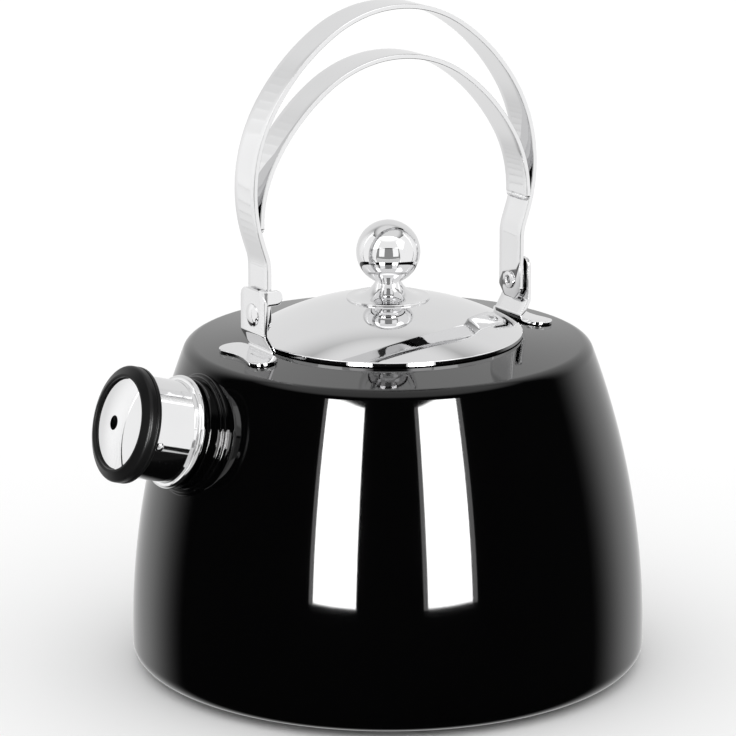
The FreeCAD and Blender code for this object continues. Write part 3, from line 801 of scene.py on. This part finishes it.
class KETTLE_OT_knob(bpy.types.Operator):
    """Builds the polished ball knob and its flared base"""

    bl_idname = "kettle.knob"
    bl_label = "Knob"

    def execute(self, context):
        s = context.scene.kettle_sizes
        radius = s.ball_radius
        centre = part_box("knob_ball")[1].z - radius
        cut = math.asin(s.neck_radius / radius)
        t = np.linspace(0, math.pi - cut, 110)
        outline = np.stack([radius * np.sin(t), centre + radius * np.cos(t)], -1)
        flat = centre - radius * math.cos(cut)
        outline[0, 0] = 0.0
        outline = np.concatenate([outline, [[s.neck_radius - 0.3 * MM, flat - 0.05 * MM], [0.0, flat]]])
        ball = skin("knob_ball_skin", [lathe(outline, 160)], False)
        dress(ball, "knob_steel", "lid", "polished_steel", "knob_ball")

        # flared base: thin edge on the lid, hollow cone up to the ball
        middle, dome = lid_dome()
        r1 = s.rose_radius
        z1 = middle + math.sqrt(dome ** 2 - r1 ** 2)
        flare = arc_points((r1 - 0.3 * MM, z1 + 0.85 * MM), (8.0 * MM, z1 + 2.9 * MM),
                           (s.neck_radius, flat - 0.25 * MM), 40)
        collar = rounded([(s.neck_radius, flat - 0.25 * MM, 0),
                          (s.neck_radius - 0.2 * MM, flat + 0.1 * MM, 0),
                          (SCREW_HOLE, flat + 0.1 * MM, 0)], 3)[1:]
        r = np.linspace(SCREW_HOLE, r1, 24)
        under = np.stack([r, middle + np.sqrt(dome ** 2 - r ** 2) + FIT], -1)
        rim = rounded([tuple(under[-1]) + (0,), (r1, z1 + 0.9 * MM, 0.3 * MM),
                       tuple(flare[2]) + (0,)], 5)[1:-1]
        outline = np.concatenate([under, rim, flare[2:], collar])
        base = skin("knob_base_skin", [lathe(outline, 192)])
        dress(base, "knob_steel", "lid", "polished_steel", "knob_base")
        return {"FINISHED"}


def strap_path(top, arcs, leg_end=None):
    """Middle line of a strap, from one end over the crown to the other.

    One half is a chain of tangent arcs from the crown down, each a (radius, degrees)
    pair on the strap's outer face, then a straight leg; the other half mirrors it.
    """
    thickness = bpy.context.scene.kettle_sizes.strap_thickness
    x, z, turned = 0.0, top, 0.0
    pieces = []
    for radius, sweep in arcs:
        if radius == 0:
            a = np.full(4, turned)
            go = np.linspace(0, sweep * MM, 4)
            outer = np.stack([x + go * np.cos(a), z - go * np.sin(a)], -1)
        else:
            radius = radius * MM
            a = turned + np.linspace(0, math.radians(sweep), max(8, int(abs(sweep) * 0.9)))
            cx, cz = x - radius * math.sin(turned), z - radius * math.cos(turned)
            outer = np.stack([cx + radius * np.sin(a), cz + radius * np.cos(a)], -1)
            turned = a[-1]
        x, z = outer[-1]
        inward = np.stack([np.sin(a), np.cos(a)], -1) * thickness / 2
        pieces.append((outer - inward)[:-1])
    last = outer[-1] - inward[-1]
    if leg_end is None:
        pieces.append(last[None])
    else:
        last[0] = x - thickness / 2
        go = np.linspace(last[1], leg_end, 30)
        pieces.append(np.stack([np.full(30, last[0]), go], -1))
    half = np.concatenate(pieces)
    return np.concatenate([(half * [-1, 1])[:0:-1], half])


class KETTLE_OT_handle(bpy.types.Operator):
    """Builds the handle: the outer strap, the inner strap and their weld seams"""

    bl_idname = "kettle.handle"
    bl_label = "Handle"

    def execute(self, context):
        s = context.scene.kettle_sizes
        half = s.strap_width / 2
        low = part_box("handle_outer")[0].z
        path = strap_path(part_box("handle_outer")[1].z, OUTER_ARCS, low)
        clip = 4.0 * MM
        width = half - np.clip(clip - (path[:, 1] - low), 0, clip)
        outer = skin("handle_outer_skin", [strip(path, width, s.strap_thickness)], False)
        reach = float(path[:, 0].max()) + 10 * MM
        bolts = [skin("hinge_hole", [along_hinge(rod(HINGE_HOLE, 0.04, reach), side)], False)
                 for side in (-1, 1)]
        bored(outer, bolts)
        dress(outer, "strap_steel", "handle", "polished_steel", "handle_outer")

        path = strap_path(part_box("handle_inner")[1].z, INNER_ARCS)
        inner = skin("handle_inner_skin", [strip(path, half, s.strap_thickness)], False)
        dress(inner, "strap_steel", "handle", "polished_steel", "handle_inner")

        # weld seams: a lumpy rod across each end of the inner strap
        seams = []
        for side in (-1, 1):
            end = path[-1] * [side, 1] - [side * 0.35 * MM, 0.45 * MM]
            y = np.linspace(-half + 0.5 * MM, half - 0.5 * MM, 90)[:, None]
            t = np.linspace(0, 2 * math.pi, 24, endpoint=False)[None]
            taper = np.sqrt(np.clip(1 - (y / (half - 0.5 * MM)) ** 6, 0, 1))
            r = (1.15 + 0.16 * np.sin(y / MM * 3.3) + 0.07 * np.sin(y / MM * 7.9 + side)) * MM * taper
            seams.append(np.stack([end[0] + r * np.cos(t), y + 0 * t, end[1] + r * np.sin(t)], -1))
        welds = skin("handle_welds_skin", seams, False, 60.0)
        dress(welds, "bracket_steel", "handle", "polished_steel", "handle_welds")
        return {"FINISHED"}


class KETTLE_OT_brackets(bpy.types.Operator):
    """Builds the two handle brackets, their rivets and weld dimples, and the stop tab"""

    bl_idname = "kettle.brackets"
    bl_label = "Brackets"

    top = 153.8 * MM           # upper edge of the plate
    bend = 137.0 * MM          # where the plate turns into the leaning web
    heel = 54.55 * MM          # where the web turns into the foot, from the kettle's axis
    plate_corner = 4.0 * MM
    foot_middle = 61.6 * MM
    ear_radius = 5.7 * MM
    ear_span = 10.8 * MM
    scallop_depth = 1.9 * MM
    dimples = ((62.0, -12.5), (62.0, 12.5), (60.5, 4.5))  # distance from the axis and y, in mm
    dimple_radius = 0.9 * MM
    dimple_depth = 0.35 * MM
    tab_reach = 7.8 * MM
    tab_middle = 151.7 * MM
    tab_half_height = 2.9 * MM
    tab_corner = 2.5 * MM
    rivet_head = 4.5 * MM
    rivet_tail = 3.5 * MM
    rivet_shaft = 2.45 * MM

    def sheet(self, s):
        """One bracket on the +X side: plate, leaning web and eared foot."""
        half = s.plate_width / 2
        t = s.plate_thickness
        mid = PLATE_X + t / 2
        slope = s.roof_slope
        lift = t / 2 / math.cos(slope) + 0.03 * MM
        toe = self.foot_middle + self.ear_radius * math.cos(slope)
        corners = [(mid, self.top, 0), (mid, self.bend, 2.2 * MM),
                   (self.heel, roof_height(self.heel) + lift, 1.5 * MM),
                   (toe, roof_height(toe) + lift, 0)]
        path, along = resampled(rounded(corners, 10), 0.25 * MM, 0.03 * MM)
        width = half - corner_inset(self.top - path[:, 1], self.plate_corner)
        u = path[:, 0] - self.foot_middle
        on_foot = (along > along[-1] - (toe - self.heel) - 1.0 * MM) & (u > -self.ear_radius)
        ear = self.ear_span + np.sqrt(np.clip(self.ear_radius ** 2 - u ** 2, 0, None))
        width = np.where(on_foot, np.maximum(ear, half), width)
        grid = strip(path, width, t, SHEET_EDGE)

        # the outer edge of the foot is scalloped and its welds are dimpled
        x, y, z = grid[..., 0], grid[..., 1], grid[..., 2]
        foot = z < roof_height(x) + t + 0.2 * MM
        ahead = np.clip((x - self.foot_middle) / self.ear_radius, 0, 1) * foot
        x = x - ahead * self.scallop_depth * np.clip(1 - (y / (9.5 * MM)) ** 2, 0, 1)
        upper = foot & (z > roof_height(x) + 0.75 * t)
        for u0, y0 in self.dimples:
            near = ((x - u0 * MM) ** 2 + (y - y0 * MM) ** 2) / self.dimple_radius ** 2
            z = z - upper * self.dimple_depth * np.exp(-near)
        return np.stack([x, y, z], -1)

    def tab(self, s):
        """The stop tab: the plate's edge folded towards the handle, round-ended."""
        t = 1.46 * MM  # a little thinner than the plate, so that no faces coincide
        mid = PLATE_X + s.plate_thickness / 2
        y_mid = s.strap_width / 2 + 0.35 * MM + s.plate_thickness / 2
        end = PLATE_X + s.plate_thickness - self.tab_reach
        fold = rounded([(mid, 5.0 * MM, 0), (mid, y_mid, 1.0 * MM), (end, y_mid, 0)], 8)
        path, along = resampled(fold, 0.3 * MM)
        width = self.tab_half_height - corner_inset(along[-1] - along, self.tab_corner)
        grid = strip(path, width, t, SHEET_EDGE)
        return np.stack([grid[..., 0], grid[..., 2], self.tab_middle + grid[..., 1]], -1)

    def execute(self, context):
        s = context.scene.kettle_sizes
        turned = np.array([-1.0, -1.0, 1.0])
        plate = self.sheet(s)
        rear = skin("bracket_rear_skin", [plate], False)
        dress(rear, "bracket_steel", "kettle", "polished_steel", "bracket_rear")
        front = skin("bracket_front_skin", [plate * turned, self.tab(s) * turned], False)
        dress(front, "bracket_steel", "kettle", "polished_steel", "bracket_front")

        # rivets: a wide flat-domed head outside, a tubular tail rolled over inside
        plate_out = PLATE_X + s.plate_thickness
        strap_in = PLATE_X - 0.9 * MM - s.strap_thickness
        head = arc_points((0.0, plate_out + 1.35 * MM), (2.6 * MM, plate_out + 1.0 * MM),
                          (4.35 * MM, plate_out + 0.35 * MM), 20)
        outline = np.concatenate([
            head, rounded([(4.35 * MM, plate_out + 0.3 * MM, 0), (self.rivet_head, plate_out + 0.01 * MM, 0),
                           (self.rivet_shaft, plate_out + 0.01 * MM, 0),
                           (self.rivet_shaft, strap_in - 0.05 * MM, 0),
                           (self.rivet_tail, strap_in - 0.1 * MM, 0.1 * MM),
                           (3.3 * MM, strap_in - 0.8 * MM, 0.35 * MM),
                           (1.9 * MM, strap_in - 0.95 * MM, 0.35 * MM),
                           (1.3 * MM, strap_in - 0.3 * MM, 0.2 * MM),
                           (1.2 * MM, strap_in + 1.4 * MM, 0), (0.0, strap_in + 1.4 * MM, 0)], 6)])
        rivets = [along_hinge(lathe(outline, 72), side) for side in (-1, 1)]
        rivets = skin("handle_rivets_skin", rivets, False)
        dress(rivets, "bracket_steel", "kettle", "polished_steel", "handle_rivets")
        dress_node("rivet_washers", "plain_steel")

        # weld plugs: small dark lenses at the bottom of the dimples
        t = np.linspace(0, math.pi / 2, 8)
        lens = np.stack([0.75 * MM * np.sin(t), 0.12 * MM * np.cos(t)], -1)
        lens = np.concatenate([lens, [[0.75 * MM, -0.3 * MM], [0.0, -0.3 * MM]]])
        plugs = []
        for side in (-1, 1):
            for u0, y0 in self.dimples:
                d = lathe(lens, 32)
                rise = roof_height(u0 * MM) + s.plate_thickness - 0.38 * MM
                d = d + np.array([u0 * MM, y0 * MM, rise])
                plugs.append(d * np.array([side, side, 1.0]))
        plugs = skin("bracket_welds_skin", plugs, False)
        dress(plugs, "plain_steel", "kettle", "polished_steel", "bracket_welds")
        return {"FINISHED"}


class KETTLE_OT_stage(bpy.types.Operator):
    """Builds the pale floor, the soft studio light and the camera"""

    bl_idname = "kettle.stage"
    bl_label = "Stage"

    azimuth = math.radians(-31.0)
    elevation = math.radians(16.4)
    distance = 1.4
    middle_height = 0.0713
    lens = 175.989            # millimetres, on a sensor 36 mm wide
    aim_above = 0.0428        # the camera looks past the middle by these amounts
    aim_left = 0.0078
    panel_distance = 2.4
    backdrop = 1.5            # strength of the world, except in mirrors
    dark_room, bright_room = 0.012, 1.08  # the world in mirrors, before and behind the kettle
    # cosines between which mirrors see the world brighten, behind the kettle and overhead
    behind_band, overhead_band = (0.2, 0.7), (0.7, 0.9)
    # large panel on each side, then narrow ones that fade out behind it; angles in degrees
    side_turn, side_rise, side_width, side_height = 72.0, 10.0, 60.0, 80.0
    fade_from, fade_over, fade_steps = 102.0, 33.0, 16
    side_glow = 1.05

    # soft panels, seen from the kettle: turn from the camera's side, rise, width and height
    # in degrees, then the glow
    dark_panels = (("left_softbox", -23.0, 9.95, 19.4, 30.1, 30.0),
                   ("right_softbox", 27.2, 9.95, 20.2, 30.1, 30.0),
                   ("left_glow", -23.8, 9.95, 21.5, 30.6, 2.2),
                   ("right_glow", 27.4, 9.95, 24.5, 30.6, 2.2))
    steel_panels = (("left_strip", -23.0, 9.95, 19.4, 30.1, 0.9),
                    ("right_strip", 27.2, 9.95, 20.2, 30.1, 0.9),
                    ("top_fill", 0.0, 48.0, 110.0, 44.0, 1.0),
                    ("front_fill", 0.0, 4.0, 84.0, 38.0, 0.3),
                    ("low_fill", 0.0, -35.0, 84.0, 42.0, 0.7))

    def camera_axes(self):
        """Directions back towards the camera, to its right and to its top."""
        a, e = self.azimuth, self.elevation
        back = Vector((math.sin(a) * math.cos(e), -math.cos(a) * math.cos(e), math.sin(e)))
        right = Vector((0, 0, 1)).cross(back).normalized()
        return back, right, back.cross(right)

    def camera(self):
        back, right, up = self.camera_axes()
        middle = Vector((0, 0, self.middle_height))
        data = bpy.data.cameras.new("camera")
        data.sensor_width = 36.0
        data.lens = self.lens
        data.clip_end = 50.0
        camera = bpy.data.objects.new("camera", data)
        camera.location = middle + back * self.distance
        aim = middle + up * self.aim_above - right * self.aim_left
        camera.rotation_mode = "QUATERNION"
        camera.rotation_quaternion = (aim - camera.location).to_track_quat("-Z", "Y")
        bpy.context.collection.objects.link(camera)
        bpy.context.scene.camera = camera

    def softbox(self, lit, name, turn, rise, width, height, glow):
        """A soft panel that shows only in the reflections of one collection of pieces."""
        distance = self.panel_distance
        a = self.azimuth + math.radians(turn)
        e = math.radians(rise)
        out = Vector((math.sin(a) * math.cos(e), -math.cos(a) * math.cos(e), math.sin(e)))
        light = bpy.data.lights.new(name, "AREA")
        light.shape = "RECTANGLE"
        light.size = 2 * distance * math.tan(math.radians(width) / 2)
        light.size_y = 2 * distance * math.tan(math.radians(height) / 2)
        light.energy = glow * math.pi * light.size * light.size_y
        panel = bpy.data.objects.new(name, light)
        panel.location = Vector((0, 0, 0.1)) + out * distance
        panel.rotation_mode = "QUATERNION"
        panel.rotation_quaternion = (-out).to_track_quat("-Z", "Y")
        panel.visible_camera = False
        panel.visible_diffuse = False
        panel.light_linking.receiver_collection = lit
        bpy.context.collection.objects.link(panel)

    def fading(self, lit, side):
        """Narrow panels that fade out behind the kettle, where the world takes over."""
        for step in range(self.fade_steps):
            share = (step + 0.5) / self.fade_steps
            turn = self.fade_from + share * self.fade_over
            glow = self.side_glow * (1 - share * share * (3 - 2 * share))
            width = self.fade_over / self.fade_steps
            self.softbox(lit, "side_fade", side * turn, self.side_rise, width,
                         self.side_height, glow)

    def surroundings(self):
        """Pale light all round, which mirrors see only behind the kettle and overhead."""
        world = bpy.data.worlds.new("studio")
        world.use_nodes = True
        tree = world.node_tree
        tree.nodes.clear()

        def node(kind, inputs, output=0, **settings):
            made = tree.nodes.new(kind)
            for key, value in settings.items():
                setattr(made, key, value)
            for key, value in inputs.items():
                if isinstance(value, bpy.types.NodeSocket):
                    tree.links.new(value, made.inputs[key])
                else:
                    made.inputs[key].default_value = value
            return made.outputs[output] if made.outputs else made

        def ramp(value, low, high):
            return node("ShaderNodeMapRange", {"Value": value, "From Min": low, "From Max": high},
                        interpolation_type="SMOOTHSTEP")

        a = self.azimuth
        away = (-math.sin(a), math.cos(a), 0.0)
        looking = node("ShaderNodeTexCoord", {}, "Generated")
        behind = node("ShaderNodeVectorMath", {0: looking, 1: away}, "Value",
                      operation="DOT_PRODUCT")
        overhead = node("ShaderNodeVectorMath", {0: looking, 1: (0.0, 0.0, 1.0)}, "Value",
                        operation="DOT_PRODUCT")
        bright = node("ShaderNodeMath", {0: ramp(behind, *self.behind_band),
                                         1: ramp(overhead, *self.overhead_band)},
                      operation="MAXIMUM")
        room = node("ShaderNodeMapRange", {"Value": bright, "To Min": self.dark_room,
                                           "To Max": self.bright_room})
        glossy = node("ShaderNodeLightPath", {}, "Is Glossy Ray")
        strength = node("ShaderNodeMix", {0: glossy, 2: self.backdrop, 3: room})
        sky = node("ShaderNodeBackground", {"Strength": strength})
        node("ShaderNodeOutputWorld", {"Surface": sky})
        bpy.context.scene.world = world

    def execute(self, context):
        self.camera()
        bpy.ops.mesh.primitive_grid_add(x_subdivisions=8, y_subdivisions=8, size=24)
        floor = context.object
        floor.name = "floor"
        floor.data.materials.append(material("studio_floor"))
        self.surroundings()
        floor.visible_glossy = False
        steel = bpy.data.collections.new("steel_pieces")
        dark = bpy.data.collections.new("dark_pieces")
        for panel in self.dark_panels:
            self.softbox(dark, *panel)
        for panel in self.steel_panels:
            self.softbox(steel, *panel)
        for side in (-1, 1):
            self.softbox(steel, "side_fill", side * self.side_turn, self.side_rise,
                         self.side_width, self.side_height, self.side_glow)
            self.fading(steel, side)
        context.scene.view_settings.view_transform = "Standard"
        return {"FINISHED"}


BUILDERS = (KETTLE_OT_stage, KETTLE_OT_shell, KETTLE_OT_base, KETTLE_OT_spout, KETTLE_OT_whistle,
            KETTLE_OT_lid, KETTLE_OT_knob, KETTLE_OT_handle, KETTLE_OT_brackets)


class KETTLE_PT_builder(bpy.types.Panel):
    """Sizes, colours and builders of the kettle"""

    bl_idname = "KETTLE_PT_builder"
    bl_label = "Whistling Kettle"
    bl_space_type = "VIEW_3D"
    bl_region_type = "UI"
    bl_category = "Kettle"

    def draw(self, context):
        column = self.layout.column()
        for builder in BUILDERS:
            column.operator(builder.bl_idname)
        for group in (context.scene.kettle_sizes, context.scene.kettle_colours):
            box = self.layout.box()
            for name in group.__annotations__:
                box.prop(group, name)


CLASSES = (KettleSizes, KettleColours, *BUILDERS, KETTLE_PT_builder)


def register():
    for item in CLASSES:
        bpy.utils.register_class(item)
    bpy.types.Scene.kettle_sizes = PointerProperty(type=KettleSizes)
    bpy.types.Scene.kettle_colours = PointerProperty(type=KettleColours)


def unregister():
    del bpy.types.Scene.kettle_colours
    del bpy.types.Scene.kettle_sizes
    for item in reversed(CLASSES):
        bpy.utils.unregister_class(item)


def main():
    register()
    for builder in BUILDERS:
        group, verb = builder.bl_idname.split(".")
        getattr(getattr(bpy.ops, group), verb)()


if __name__ == "__main__":
    main()
